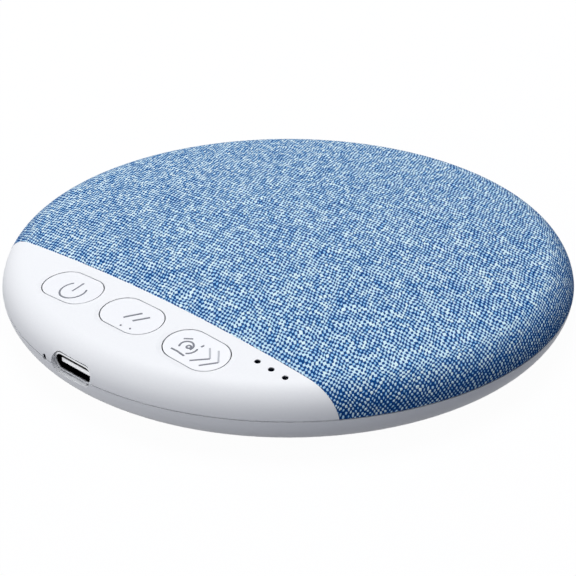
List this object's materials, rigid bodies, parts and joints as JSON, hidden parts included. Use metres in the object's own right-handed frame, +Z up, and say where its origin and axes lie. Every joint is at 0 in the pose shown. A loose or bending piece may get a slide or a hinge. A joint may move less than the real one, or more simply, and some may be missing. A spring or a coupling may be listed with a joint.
{
  "type": "pillow speaker",
  "caption": "Slim round rechargeable speaker for under a pillow: woven cloth crown, moulded control panel with press keys, charging port in the rim.",
  "frame": {"origin": "on the surface that the speaker stands on, below the middle of the round case", "axes": "+Z is up, out of the cloth crown; -Y is the front, with the control panel and the charging port; +X is to the right seen from the front"},
  "size_m": [0.1, 0.0998, 0.0137],
  "materials": {
    "white_shell": "satin",
    "white_key": "satin",
    "blue_cloth": "woven",
    "grey_plastic": "matt",
    "dark_window": "tinted",
    "port_steel": "bright",
    "pale_insulator": "matt",
    "green_board": "satin",
    "lamp": "clear",
    "chip": "matt",
    "tan_parts": "matt",
    "frame_steel": "satin",
    "magnet": "plated",
    "cone_paper": "matt",
    "copper": "wound",
    "roll_rubber": "matt",
    "foam": "soft",
    "cell_foil": "satin",
    "tape": "matt",
    "red_wire": "satin",
    "yellow_wire": "satin"
  },
  "bodies": {
    "case": {"lower_shell": "white_shell", "top_shell": "white_shell", "speaker_grille": "grey_plastic", "fabric_cover": "blue_cloth", "light_guide": "dark_window", "usb_shell": "port_steel", "usb_tongue": "pale_insulator", "main_board": "green_board", "tact_switches": "grey_plastic", "indicator_leds": "lamp", "audio_chip": "chip", "amplifier_chip": "chip", "board_parts": "tan_parts", "driver_frame": "frame_steel", "driver_yoke": "frame_steel", "driver_magnet": "magnet", "driver_top_plate": "frame_steel", "driver_surround": "roll_rubber", "driver_gasket": "foam", "driver_pad": "foam", "battery_cell": "cell_foil", "battery_tape": "tape", "battery_leads": "red_wire", "speaker_leads": "yellow_wire", "case_screws": "port_steel", "board_screws": "port_steel", "rubber_feet": "roll_rubber"},
    "power_key": {"power_button": "white_key", "power_plunger": "grey_plastic"},
    "play_key": {"play_button": "white_key", "play_plunger": "grey_plastic"},
    "timer_key": {"timer_button": "white_key", "timer_plunger": "grey_plastic"},
    "cone": {"driver_cone": "cone_paper", "dust_cap": "cone_paper", "voice_coil": "copper"}
  },
  "joints": [
    {"name": "power_press", "type": "slide", "parent": "case", "child": "power_key", "axis": [0, 0, -1], "range_m": [0, 0.0003], "stiffness_N_per_m": 3000},
    {"name": "play_press", "type": "slide", "parent": "case", "child": "play_key", "axis": [0, 0, -1], "range_m": [0, 0.0003], "stiffness_N_per_m": 3000},
    {"name": "timer_press", "type": "slide", "parent": "case", "child": "timer_key", "axis": [0, 0, -1], "range_m": [0, 0.0003], "stiffness_N_per_m": 3000},
    {"name": "cone_stroke", "type": "slide", "parent": "case", "child": "cone", "axis": [0, 0, 1], "range_m": [-0.0004, 0.0004], "stiffness_N_per_m": 1000, "deforming": ["driver_surround"]}
  ]
}
